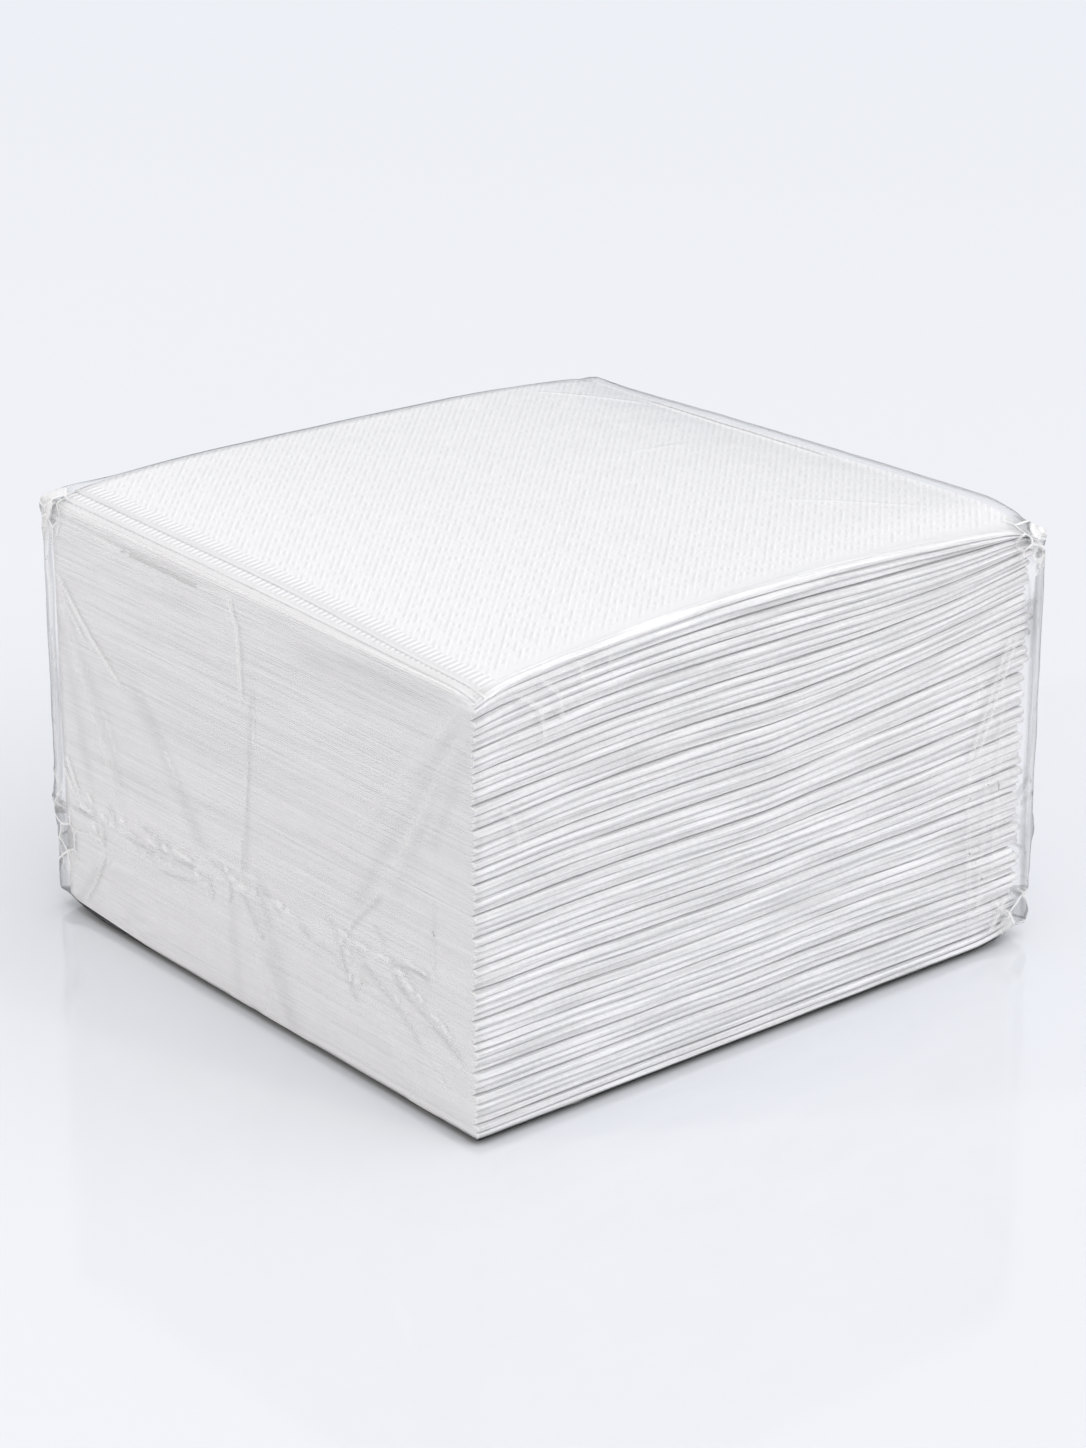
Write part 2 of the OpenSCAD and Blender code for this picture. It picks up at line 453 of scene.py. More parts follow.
def nose_shift(i, y, z_share):
    """How far the nose of napkin i stands out at one place along the pack."""
    slow = noise.noise(Vector((i * 3.37, y / nose_wave, 1.7)))
    fine = noise.noise(Vector((i * 1.91, y / nose_ripple, 6.1)))
    bulge = math.sin(math.pi * z_share) * nose_bulge
    return nose_wander * (slow + 0.4 * fine) - bulge


def hem_shift(i):
    """How far the hem of napkin i stands out beyond its place, or short of it."""
    return hem_wander * max(-1.0, min(1.0, 2.2 * noise.noise(Vector((i * 3.31, 0.5, 8.8)))))


def cut_shift(i, leaf, x):
    """How far one leaf's cut edge stops short of the face of the pack, its top leaf being leaf 0."""
    wander = edge_wander * abs(noise.noise(Vector((i * 4.1 + 0.37, leaf * 2.3, 2.2))))
    taper = 0.45 + 0.55 * smooth((nose_x - x) / step_fade)
    return wander + top_step * taper * step_share ** (4 * (count - i) + leaf)


print("the topmost leaf stops short by, mm:", round(cut_shift(count, 0, back_x) / MM, 1))

# %% [markdown]
# Tissue is bright white, soft and quite without gloss. Its face is pressed with fine slanting ribs a
# little over a millimetre apart, broken into short dashes, and the border of the sheet has a row of
# small grooves that hold the two plies together. All of it follows the flat sheet, so it sits in the
# sheet's own UV map, in metres. The strip beside the fold is smooth, because the folding rolls iron it.
# Only the level lines of the cut ends and the loose fibres are laid over the pack as a whole. The colour
# follows the relief, with painted shade in its grooves and gaps and painted light on its rises.

# %% Tissue
rib_pitch = 1.13
rib_dash = 2.0
border_pitch = 1.4
border_width = 4.2
border_margin = 0.9
border_soft = 0.4
ironed_strip = 6.0


def pressed_tissue():
    """Embossed two-ply tissue: matt white that scatters light, low relief, painted shade in its hollows."""
    material, tree = new_material("embossed_tissue")
    sheet = add(tree, "UVMap", uv_map="sheet")
    place = add(tree, "VectorMath", {0: sheet.outputs[0], 3: 1 / MM}, operation="SCALE")
    own = add(tree, "Attribute", attribute_name="own_phase", attribute_type="GEOMETRY")
    shifted = add(tree, "VectorMath", {0: place.outputs[0], 1: own.outputs["Vector"]})
    parts = add(tree, "SeparateXYZ", {0: place.outputs[0]})
    from_fold = calc(tree, "ABSOLUTE", parts.outputs[0])
    long_way = calc(tree, "ABSOLUTE", parts.outputs[1])
    # Slanting ribs, broken into dashes
    turned = add(tree, "Mapping", {"Vector": shifted.outputs[0], "Rotation": (0, 0, math.radians(45))})
    ribs = add(tree, "SeparateXYZ", {0: turned.outputs[0]})
    wave = calc(tree, "SINE", calc(tree, "MULTIPLY", ribs.outputs[0], 2 * math.pi / rib_pitch))
    stretched = add(tree, "Mapping", {"Vector": turned.outputs[0], "Scale": (1 / rib_pitch, 1 / rib_dash, 1)})
    dashes = grain(tree, stretched.outputs[0], 1.0, 2.0)
    rib_height = calc(tree, "MULTIPLY", wave, ramp(tree, dashes, 0.42, 0.60, 0.0, 0.8))
    paper_end = half_long / MM
    border_start = paper_end - border_width
    border_end = paper_end - border_margin
    beyond = ramp(tree, from_fold, ironed_strip - 3, ironed_strip, 0.1, 1.0)
    inner = ramp(tree, long_way, border_start, border_start + border_soft, 1.0, 0.0)
    face = calc(tree, "MULTIPLY", rib_height, calc(tree, "MULTIPLY", beyond, inner))
    # Grooves across the border of the sheet
    from_start = ramp(tree, long_way, border_start, border_start + border_soft)
    to_margin = ramp(tree, long_way, border_end - border_soft, border_end, 1.0, 0.0)
    in_border = calc(tree, "MULTIPLY", from_start, to_margin)
    groove = calc(tree, "SINE", calc(tree, "MULTIPLY", parts.outputs[0], 2 * math.pi / border_pitch))
    relief_and_groove_shade = blend(tree, in_border, face, groove)
    # Fine streaks along the fold, where the plies are drawn round it
    drawn = add(tree, "Mapping", {"Vector": shifted.outputs[0], "Scale": (1 / 0.34, 1 / 20, 1)})
    streaks = grain(tree, drawn.outputs[0], 1.0, 2.0)
    both = blend(tree, 0.15, streaks, grain(tree, shifted.outputs[0], 1.1, 1.0))
    on_nose = ramp(tree, from_fold, 1.5, 2.5, 1.0, 0.0)
    relief_and_groove_shade = blend(tree, on_nose, relief_and_groove_shade, ramp(tree, both, 0.36, 0.60, -1.0, 1.0))
    # The cut ends show the fluffy edges of the plies as fine level lines, with painted shade in the gaps
    # between them. Near the foot of the stack they are painted fainter and paler, as painted light against
    # the shade of the table.
    space = add(tree, "TexCoord")
    lines = add(tree, "Mapping", {"Vector": space.outputs["Object"], "Scale": (26, 26, 5200)})
    plies = grain(tree, lines.outputs[0], 1.0, 2.0)
    height_up = add(tree, "SeparateXYZ", {0: space.outputs["Object"]})
    painted_foot_light = ramp(tree, height_up.outputs[2], 0.010, 0.040, 0.40, 0.1)
    at_cut = ramp(tree, long_way, paper_end - 0.45, paper_end - 0.25)
    relief_and_groove_shade = blend(tree, at_cut, relief_and_groove_shade, ramp(tree, plies, 0.3, 0.7, painted_foot_light, 1.0))
    # Loose fibres all over
    fibres = grain(tree, space.outputs["Object"], 900.0, 1.0)
    height = calc(tree, "ADD", relief_and_groove_shade, calc(tree, "MULTIPLY", fibres, 0.5))
    bump = add(tree, "Bump", {"Height": height, "Strength": 0.7, "Distance": 0.00012})
    # Painted shade and light: the colour is darker in the hollows of the relief and paler on its rises.
    colour = tinge(tree, ramp(tree, relief_and_groove_shade, -1.0, 1.0), linear("E1E1E3"), linear("FCFCFE"))
    shader = add(tree, "BsdfPrincipled", {
        "Base Color": colour, "Roughness": 0.9, "Specular IOR Level": 0.15, "Normal": bump.outputs[0]})
    show(tree, shader)
    return material


tissue = pressed_tissue()
print("nodes in the tissue:", len(tissue.node_tree.nodes))

# %% [markdown]
# One function makes a napkin: a flat grid, thickened to a slab, folded twice and laid at its level.

# %% Make a napkin
fringe_depth = 2.5 * MM
nose_zone = 30 * MM


def flat_slab(across, along):
    """A flat sheet of tissue with rows at the given distances, and its own map in metres."""
    bm = bmesh.new()
    cells = (len(across) - 1, len(along) - 1)
    bmesh.ops.create_grid(bm, x_segments=cells[0], y_segments=cells[1], size=1)
    for v in bm.verts:
        v.co.x = across[round((v.co.x + 1) / 2 * cells[0])]
        v.co.y = along[round((v.co.y + 1) / 2 * cells[1])]
    bmesh.ops.solidify(bm, geom=bm.faces[:], thickness=leaf_t)
    middle = sum(v.co.z for v in bm.verts) / len(bm.verts)
    for v in bm.verts:
        v.co.z = math.copysign(leaf_t / 2, v.co.z - middle)
    sheet = bm.loops.layers.uv.new("sheet")
    for face in bm.faces:
        for loop in face.loops:
            loop[sheet].uv = loop.vert.co.xy
    return bm


def fold_and_lay(bm, i, low, high):
    """Folds a slab as napkin i, and lays it in the box that its CAD node has."""
    paper_across = half_across - math.pi / 2 * nose_radius
    paper_along = half_long - math.pi / 2 * hem_radius
    tip = nose_stretch * (nose_radius + hem_radius + leaf_t / 2)
    for v in bm.verts:
        across, along, t = v.co
        forward, off = first_fold(along, t)
        out, height = second_fold(across, off)
        inner_leaf = along > 0
        leaf = inner_leaf if across > 0 else 3 - inner_leaf
        reach = (high.x - tip - low.x) / paper_across
        x = high.x - tip + (out * reach if out < 0 else out)
        short = cut_shift(i, leaf, x)
        hem = hem_radius + leaf_t / 2
        bend_y = high.y - hem + hem_shift(i)
        length = (bend_y - cut_y - short) / paper_along
        y = bend_y + (forward * length if forward < 0 else forward)
        rise = 0.5 + height / folded_t
        fringe = smooth(1 - (y - cut_y - short) / fringe_depth) * smooth((high.x - x) / (2 * MM) - 0.5)
        share = share_of_stack(i, y, rise, fringe)
        x += nose_shift(i, y, share) * smooth(1 - (high.x - x) / nose_zone)
        v.co = (x, y, stack_level(share, x, y))


def finish_mesh(bm, name):
    """Turns a closed bmesh into a smooth object at the origin, with its faces outwards."""
    if bm.calc_volume(signed=True) < 0:
        bmesh.ops.reverse_faces(bm, faces=bm.faces[:])
    mesh = bpy.data.meshes.new(name)
    bm.to_mesh(mesh)
    bm.free()
    mesh.shade_smooth()
    return new_object(name, mesh)


def triangles_of(piece):
    """How many triangles a piece has with its modifiers."""
    mesh = piece.evaluated_get(bpy.context.evaluated_depsgraph_get()).to_mesh()
    mesh.calc_loop_triangles()
    return len(mesh.loop_triangles)


total, napkins = 0, []
for i, name in enumerate(names, start=1):
    slab = flat_slab(rows_across(i > count - close_napkins), rows_along())
    fold_and_lay(slab, i, *boxes[i - 1])
    if i in (1, count):
        print(name, "closed:", all(len(e.link_faces) == 2 for e in slab.edges), "volume, mm3:",
              round(abs(slab.calc_volume()) / MM ** 3))
    napkin = finish_mesh(slab, "folded_" + name)
    phase = napkin.data.attributes.new("own_phase", "FLOAT_VECTOR", "POINT")
    phase.data.foreach_set("vector", [i * 7.31, i * 3.77, 0.0] * len(napkin.data.vertices))
    napkin.data.materials.append(tissue)
    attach(napkin, "root")
    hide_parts(name)
    napkins.append(napkin)
    total += triangles_of(napkin)
print("triangles in all the napkins:", total)

# %% [markdown]
# The film wrap goes on last. It is a tube of thin clear film round the block, drawn tight over the cut
# edges and the folds, loose at the back and at the far end, and closed by a gathered seal low on each
# end. Wrapping film keeps every crease it gets. Each one is drawn here as a line on one side of the
# pack, in millimetres: how far along from the side's left edge, and how high above the table.

# %% Creases of the film
CUT_SIDE, FAR_SIDE, FOLD_SIDE, BACK_SIDE, TOP_SIDE = "cut", "far", "fold", "back", "top"
# Each crease: its line, half its width, how far it stands out or is drawn in (below 0), how milky the
# stretched film is along it, partly as painted glints, and how much painted shade its pleat gets. The
# milk and the painted shade of this table are then scaled together.
end_creases = [
    ([(0, 75.6), (15, 75.3), (25, 75.1), (45, 75.1), (50, 75.6), (54, 76.6)], 0.4, 0.06, 0.4, 0),
    ([(54.6, 76.5), (55, 74), (56.5, 71), (57, 66), (57.2, 58)], 0.6, 0.08, 0.3, 0),
    ([(1, 65.3), (5, 61.5), (9, 58), (12, 55.5), (17, 52), (21, 49.5)], 0.55, 0.12, 0.4, 0),
    ([(1, 65.3), (4, 60), (8, 56), (10, 54)], 0.45, 0.08, 0.22, 0),
    ([(60.6, 62), (60.4, 51)], 0.3, 0.04, 0.16, 0), ([(58.4, 48), (57.2, 38)], 0.4, 0.04, 0.12, 0),
    ([(7, 53), (11, 47), (14, 43), (17, 37), (19, 29)], 1.5, -0.3, 0, 0.053),
    ([(23, 53), (28, 47.5), (33, 42), (36, 37.5), (40, 31), (45, 26)], 1.2, -0.3, 0, 0.075),
    ([(60.2, 62), (59, 50), (58, 40), (56.8, 26)], 0.7, -0.12, 0, 0.075),
    ([(56.2, 33), (55.9, 26)], 0.3, -0.04, 0, 0.11), ([(93, 34), (104, 53), (119, 77)], 2.8, 0.3, 0.02, 0),
    ([(119.5, 76), (113, 60), (109, 39)], 1.8, 0.3, 0.03, 0),
    ([(121, 77), (109, 58), (98, 34)], 1.6, -0.3, 0, 0.03),
    ([(86.5, 26.5), (89, 29.5), (92, 32.5), (96, 36)], 0.5, -0.12, 0, 0.11),
    ([(86.2, 25.5), (87, 28.2), (90, 31.5), (93, 34.5)], 0.35, 0.04, 0.1, 0),
    ([(96.5, 27.5), (93, 30)], 0.5, -0.08, 0, 0.09),
    ([(109.5, 40), (109, 30), (109, 27.5), (110.5, 26.3)], 0.4, 0.08, 0.08, 0.06),
    ([(13.3, 15), (10, 8.5), (6, 2.5)], 0.5, -0.12, 0, 0.11),
    ([(52, 20), (52.5, 12), (53.5, 1)], 1.4, -0.18, 0, 0.045),
    ([(55.3, 23), (58, 20), (60, 17.3), (62, 15.8)], 0.4, -0.12, 0, 0.18),
    ([(62.3, 14), (65, 9.5), (68, 3.5), (69, 0.5)], 1.3, -0.24, 0, 0.075),
    ([(83.5, 23.5), (84.5, 20), (86.5, 16), (88.5, 14)], 0.5, -0.12, 0, 0.15),
    ([(88, 24.5), (91, 21.5), (94, 19.5), (98, 18), (106, 12)], 0.5, -0.12, 0, 0.13),
    ([(91, 16), (97, 11.5), (102, 6), (106, 1)], 1.5, 0.24, 0.05, 0),
    ([(98.3, 24.5), (100, 21.3), (104, 20), (107, 18.8), (110, 17.5), (113, 16),
      (118, 13.5)], 0.5, -0.2, 0, 0.22),
    ([(109, 10), (112, 7.5), (114.5, 6), (117, 6)], 0.5, 0.08, 0.12, 0),
    ([(3, 22), (6, 21.4), (10, 21.6)], 0.5, -0.12, 0, 0.2),
    ([(12, 21.3), (13, 19), (12.8, 16.5)], 0.4, -0.08, 0, 0.15),
    ([(14.5, 25), (17, 23)], 0.5, -0.08, 0, 0.15), ([(20.3, 21.8), (24.8, 20.9)], 0.45, -0.1, 0, 0.2),
    ([(24.8, 20.9), (26.5, 21.5), (28.3, 20.5), (29.2, 18.8)], 0.35, -0.08, 0, 0.15),
    ([(24.6, 20.8), (24.6, 19)], 0.3, -0.06, 0, 0.15),
    ([(24.5, 24.8), (28, 24.5), (31, 24), (34, 24)], 0.35, -0.06, 0, 0.13),
    ([(28, 22.5), (31, 22.3), (34, 22.5)], 0.35, -0.06, 0, 0.15),
    ([(35, 23), (35.5, 22.3), (39, 22.3), (42, 22.6)], 0.4, -0.08, 0, 0.2),
    ([(30, 18.3), (35, 18.4), (39, 19.2), (42, 19.6)], 0.35, -0.04, 0, 0.11),
    ([(45, 22.3), (46.2, 20.5), (46.8, 18)], 0.4, -0.08, 0, 0.15),
    ([(46, 25.6), (50, 25.2), (52, 23.5), (52.5, 21.5), (51.8, 19)], 0.4, -0.08, 0, 0.15),
    ([(60, 24.6), (64.5, 24.8)], 0.35, -0.06, 0, 0.13),
    ([(61.5, 23.2), (63, 21), (64, 20)], 0.45, -0.08, 0, 0.14),
    ([(59.5, 27), (64, 24.8)], 0.6, -0.08, 0, 0.09), ([(65.5, 23.5), (68, 23)], 0.4, -0.08, 0, 0.15),
    ([(72.3, 23.2), (74, 22), (75.5, 21.3)], 0.5, -0.12, 0, 0.2),
    ([(76, 21), (82, 20.5), (84, 18.5)], 0.5, -0.06, 0, 0.075),
    ([(80, 27.5), (82, 25.8), (83, 25.3), (84, 23)], 0.4, -0.08, 0, 0.15),
    ([(98, 25), (102, 25.4), (106, 25.6), (108, 25)], 0.4, -0.08, 0, 0.2),
]
# Painted highlights on the weld and the small puckers beside it, as short bright dashes, each from one point
# to another.
seal_dashes = [
    (5.5, 22.6, 10, 22.5), (12.3, 22.9, 14.2, 22.4), (15.2, 22.4, 17, 22.3), (18.5, 24, 19.8, 24),
    (20.5, 22.2, 23, 22.1), (27, 23.1, 31, 22.9), (32, 23.5, 34, 23.2), (35.2, 23.9, 41, 23.6),
    (25.7, 20.2, 26.3, 19.5), (30, 20.8, 31, 20.3), (34, 21, 34.6, 20.6), (42, 22.4, 43.5, 21),
    (46.3, 20, 46.8, 19.4), (50.8, 25.8, 52.2, 25.4), (52.3, 24.6, 54.3, 24.6), (55.3, 24.2, 60.5, 23.8),
    (66.3, 24.8, 68, 24.5), (69, 24.3, 72, 23.7), (83.5, 25.9, 86.5, 25.6), (84, 24.4, 84.8, 23.8),
    (86, 23, 87, 22), (88.5, 25.5, 92, 25.2), (95, 25.6, 98, 25.4), (103, 26.6, 107.8, 26.2),
    (99.5, 24.8, 101.5, 24.2), (101, 23.4, 104, 22.4), (105, 21.9, 106.5, 21.2), (108.5, 19.6, 111, 19.2),
    (111, 19, 114, 17.2), (98.8, 19.3, 100, 18.3), (88, 18.2, 91, 18.3), (86.3, 18.6, 86.5, 17.3),
    (7.8, 25.3, 9.5, 24.2), (9.8, 20.5, 10.3, 18.5), (2, 16.2, 8, 17.3), (8, 17.3, 12.3, 17.6),
    (1.5, 31, 4.2, 25), (2.6, 29, 5, 24.6), (0, 28.5, 3.2, 24.6), (13.5, 14.6, 14, 13.8),
]
milk_and_glint_scale, pleat_shade_scale = 1.3, 0.4
end_creases = [(line, width, rise, milk_and_glint_scale * white, pleat_shade_scale * shade)
               for line, width, rise, white, shade in end_creases]
end_creases += [([(a, b), (c, d)], 0.36, 0.12, 0.45, 0) for a, b, c, d in seal_dashes]
# A fine pleat has a painted highlight beside it.
end_creases += [([(a - 0.35, b + 0.55) for a, b in line], 0.35, 0.05, 0.13, 0)
                for line, width, _, _, shade in end_creases if shade > 0.03 and width < 0.8]
seal_line = [(-4, 22), (10, 22.2), (25, 22), (35, 22.8), (45, 23.6), (52, 24.6), (60, 24), (73, 23.8),
             (83, 25), (96, 25), (100, 24), (108, 18.8), (117, 14.2), (124, 13)]
end_creases.append((seal_line[1:-1], 0.40, 0.12, 0.13, 0))
# Wide, soft folds fan out where the film is drawn to a corner, and below the seal, with painted light and
# shade along them, and a painted highlight runs along the upper edge of each end.
end_creases += [
    ([(118.5, 77), (90, 46)], 1.6, 0.12, 0.22, 0), ([(117.5, 75), (86.3, 29.2)], 1.5, -0.10, 0, 0.022),
    ([(118.3, 73), (99, 41)], 1.3, 0.10, 0.20, 0), ([(118.4, 70), (109, 48)], 1.3, -0.08, 0, 0.022),
    ([(72, 71.8), (115, 75.4)], 2.0, 0, 0, 0.022),
    ([(1, 65.3), (5.8, 52.4), (19, 27.7)], 1.5, 0.08, 0.20, 0),
    ([(0.4, 58.5), (5, 42.6), (9.2, 26.5)], 1.3, -0.06, 0, 0.024),
    ([(22, 52), (44, 28.4)], 1.9, -0.04, 0, 0.024), ([(60.6, 24.4), (71.2, 0.3)], 1.8, -0.1, 0, 0.022),
    ([(57, 23), (64, 1)], 1.6, 0.1, 0.11, 0), ([(85.5, 21.6), (94.9, 15), (106.9, 6.8)], 1.8, 0.1, 0.11, 0),
    ([(9.6, 10.9), (2.2, 0.2)], 0.9, -0.1, 0, 0.03), ([(0, 78.1), (119, 78.1)], 0.4, 0, 0.5, 0),
]
# The loose corners at the back and far end are crushed to little facets, with painted highlights and
# shade along their edges.
ear_creases = [
    ([(-3.2, 79), (-0.4, 75.5), (-3.3, 72)], 0.3, 0.2, 0.7, 0),
    ([(-0.2, 79), (-3.2, 74.5), (-0.6, 71)], 0.3, -0.2, 0.5, 0),
    ([(-2.0, 70), (-1.2, 50), (-2.2, 30)], 0.35, 0.2, 0.35, 0.03),
    ([(-0.5, 68), (-0.8, 45), (-0.3, 26)], 0.35, -0.2, 0.1, 0.08),
    ([(-3.3, 27), (-0.4, 24), (-3.0, 19)], 0.3, 0.3, 0.6, 0),
    ([(-0.3, 17), (-2.8, 12), (-0.5, 7)], 0.3, 0.2, 0.4, 0),
]
creases = {
    CUT_SIDE: end_creases + ear_creases,
    FAR_SIDE: end_creases,
    FOLD_SIDE: [
        ([(119.5, 60.5), (110, 37.5)], 0.35, 0.2, 0.30, 0), ([(121, 60), (111.5, 37)], 0.35, 0.2, 0.30, 0),
        ([(113, 52.5), (108, 45.5)], 0.35, 0.15, 0.22, 0), ([(110, 40), (112, 2)], 0.35, 0.12, 0.12, 0),
        ([(115, 40), (114, 5)], 0.35, 0.12, 0.12, 0), ([(118, 50), (117, 12)], 0.35, 0.12, 0.12, 0),
        ([(8, 76), (13, 72), (14, 66)], 0.35, 0.15, 0.25, 0),
        ([(13, 77), (17, 73), (17.5, 68)], 0.35, 0.15, 0.22, 0),
        ([(4, 59), (7, 56), (9, 50)], 0.35, 0.15, 0.18, 0),
        ([(2, 7), (10, 3), (22, 0.5)], 0.6, 0.2, 0.12, 0), ([(21, 77), (22, 72)], 0.3, 0.1, 0.16, 0),
        ([(27, 78), (27.5, 73)], 0.3, 0.1, 0.14, 0), ([(118, 9), (123, 3)], 0.5, 0.4, 0.40, 0),
        ([(121, 9), (117, 3)], 0.5, 0.4, 0.40, 0),
        ([(123, 70), (125, 52), (124.5, 30), (125.5, 8)], 0.4, 0.3, 0.10, 0.2),
        ([(123.8, 79), (126.8, 75), (124.2, 71)], 0.3, 0.3, 0.7, 0),
        ([(127, 79), (124, 75), (126.8, 72)], 0.3, -0.2, 0.6, 0),
        ([(125.4, 70), (126.2, 45), (125.2, 20)], 0.35, 0.2, 0.3, 0.05),
        ([(124.2, 68), (124.6, 40), (124.1, 14)], 0.4, -0.2, 0, 0.10),
    ],
    BACK_SIDE: [
        ([(123, 78), (121, 60), (122.5, 40), (121.5, 22)], 0.5, 0.3, 0.12, 0.15),
        ([(119, 77), (120.5, 50), (119, 27)], 0.6, -0.3, 0, 0.2),
        ([(1, 76), (3, 50), (1.5, 20)], 0.6, -0.3, 0.1, 0.15),
        ([(60, 80), (70, 40), (55, 4)], 1.5, 0.3, 0.05, 0),
    ],
    TOP_SIDE: [
        ([(3, 118), (20, 100)], 0.4, 0.15, 0.16, 0), ([(5, 106), (22, 121)], 0.4, 0.15, 0.14, 0),
        ([(20, 122.5), (70, 122)], 0.5, 0.2, 0.14, 0), ([(88, 95), (104, 112)], 0.35, 0.12, 0.12, 0),
        ([(50, 105), (49, 90)], 0.35, 0.1, 0.1, 0),
        ([(118.5, 3), (119, 60), (118, 118)], 1.0, 0.15, 0.03, 0),
    ],
}


def near_line(a, b, line):
    """The distance from a point to a line of several stretches, how far along it lies, and its foot."""
    best, along, foot, done = 1e9, 0.0, line[0], 0.0
    lengths = [math.dist(p, q) for p, q in zip(line, line[1:])]
    for (p, q), length in zip(zip(line, line[1:]), lengths):
        t = ((a - p[0]) * (q[0] - p[0]) + (b - p[1]) * (q[1] - p[1])) / length ** 2
        t = min(1.0, max(0.0, t))
        point = (p[0] + t * (q[0] - p[0]), p[1] + t * (q[1] - p[1]))
        d = math.dist((a, b), point)
        if d < best:
            best, along, foot = d, (done + t * length) / sum(lengths), point
        done += length
    return best, along, foot


def in_reach(a, b, line, reach):
    """A quick test that keeps most points away from the exact distance."""
    return (min(p[0] for p in line) - reach < a < max(p[0] for p in line) + reach
            and min(p[1] for p in line) - reach < b < max(p[1] for p in line) + reach)


print("creases on each side:", {side: len(lines) for side, lines in creases.items()})

# %% [markdown]
# The film starts as the skin of a sharp box round the stack, with even cells. The cells beside a crease
# are halved once, and those beside a narrow one twice. The points next to a fine crease are drawn onto
# its line, so that it stays sharp.

# %% Skin of the film
film_low, film_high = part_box("film_wrap")
film_t = 0.05 * MM
edge_round = 1.0 * MM
back_loose = 3.4
far_loose = 2.6
film_gap = 0.3 * MM
cells_x, cells_y, cells_z = 60, 62, 40
box_low = Vector((back_x - film_gap - back_loose * MM, cut_y - film_gap, 0.0))
box_high = Vector((nose_x + film_gap, hem_y + film_gap + far_loose * MM, stack_top + film_gap))
# Each side's axis, its level on that axis, how its two measures are read off a point, and the axis and
# value that its first measure gives back.
side_frames = {
    CUT_SIDE: (1, box_low.y, lambda p: ((p.x - back_x) / MM, p.z / MM), lambda a: (0, back_x + a * MM)),
    FAR_SIDE: (1, box_high.y, lambda p: ((nose_x - p.x) / MM, p.z / MM), lambda a: (0, nose_x - a * MM)),
    FOLD_SIDE: (0, box_high.x, lambda p: ((p.y - cut_y) / MM, p.z / MM), lambda a: (1, cut_y + a * MM)),
    BACK_SIDE: (0, box_low.x, lambda p: ((hem_y - p.y) / MM, p.z / MM), lambda a: (1, hem_y - a * MM)),
    TOP_SIDE: (2, box_high.z, lambda p: ((p.x - back_x) / MM, (p.y - cut_y) / MM), None),
}


def row_at(k, n, low, high):
    """The place of row k of n, with two narrow rows at each end for the round edges."""
    if k > n / 2:
        return high - (row_at(n - k, n, low, high) - low)
    if k < 3:
        return low + edge_round * (0, 0.4, 1.0)[k]
    return low + edge_round + (high - low - 2 * edge_round) * (k - 2) / (n - 4)


def box_skin():
    """The closed skin of the sharp box that the film is made from."""
    bm = bmesh.new()
    spans = {"X": (cells_z, cells_y), "Y": (cells_x, cells_z), "Z": (cells_x, cells_y)}
    turns = {"X": Matrix.Rotation(math.radians(90), 4, "Y"), "Y": Matrix.Rotation(math.radians(90), 4, "X"),
             "Z": Matrix.Identity(4)}
    for k, axis in enumerate("XYZ"):
        for side in (-1, 1):
            shift = Matrix.Translation([side if j == k else 0 for j in range(3)])
            bmesh.ops.create_grid(bm, x_segments=spans[axis][0], y_segments=spans[axis][1], size=1,
                                  matrix=shift @ turns[axis])
    bmesh.ops.remove_doubles(bm, verts=bm.verts[:], dist=1e-5)
    bmesh.ops.recalc_face_normals(bm, faces=bm.faces[:])
    cells = (cells_x, cells_y, cells_z)
    for v in bm.verts:
        v.co = [row_at(round((c + 1) / 2 * n), n, l, h) for c, n, l, h in zip(v.co, cells, box_low, box_high)]
    return bm


def on_side(side, items, places):
    """The items of a mesh that lie on one side of the box, each with its two measures."""
    axis, level, measure, _ = side_frames[side]
    found = []
    for item, place in zip(items, places):
        if abs(place[axis] - level) < 1e-6:
            found.append((item, *measure(place)))
    return found


def split_by_creases(bm, side, reach, widest):
    """Halves the cells of one side that lie within reach of a crease narrower than widest."""
    faces = bm.faces[:]
    lines = [c[0] for c in creases[side] if c[1] < widest]
    near = [f for f, a, b in on_side(side, faces, [f.calc_center_median() for f in faces])
            if any(in_reach(a, b, line, reach) and near_line(a, b, line)[0] < reach for line in lines)]
    bmesh.ops.subdivide_edges(bm, edges=list({e for f in near for e in f.edges}), cuts=1, use_grid_fill=True)


skin = box_skin()
for side in creases:
    for reach, widest in ((2.6, 9.0), (1.3, 1.0)):
        split_by_creases(skin, side, reach, widest)
print("film cells:", len(skin.faces), "closed:", all(len(e.link_faces) == 2 for e in skin.edges))

# %% [markdown]
# Four layers of the mesh keep how far each point is pushed out, how milky it is with its painted glints,
# how much painted shade it gets, and later how crushed it is. The shaders read all but the first.

# %% Mark the creases
milk_and_glint = skin.verts.layers.float.new("milk_and_glint")
painted_shade = skin.verts.layers.float.new("painted_shade")
push = skin.verts.layers.float.new("push")
crush = skin.verts.layers.float.new("crush")
snap_reach = 0.3
fine_width = 0.6
end_fade = 5
end_share = 0.35


def mark_crease(points, crease, place_on):
    """Gives one crease to the points of its side, and draws the nearest points onto a fine one."""
    line, width, rise, white, shade = crease
    reach = max(3 * width, 1.2)
    for v, a, b in points:
        if not in_reach(a, b, line, reach):
            continue
        d, along, foot = near_line(a, b, line)
        if width < fine_width and d < snap_reach and place_on:
            axis, level = place_on(foot[0])
            v.co[axis] = level
            v.co.z = foot[1] * MM
            d = 0.0
        fade = smooth(min(along, 1 - along) * end_fade + end_share)
        profile = math.exp(-(d / width) ** 2) * fade
        v[push] += rise * profile
        v[milk_and_glint] = max(v[milk_and_glint], white * profile)
        v[painted_shade] = max(v[painted_shade], shade * profile)


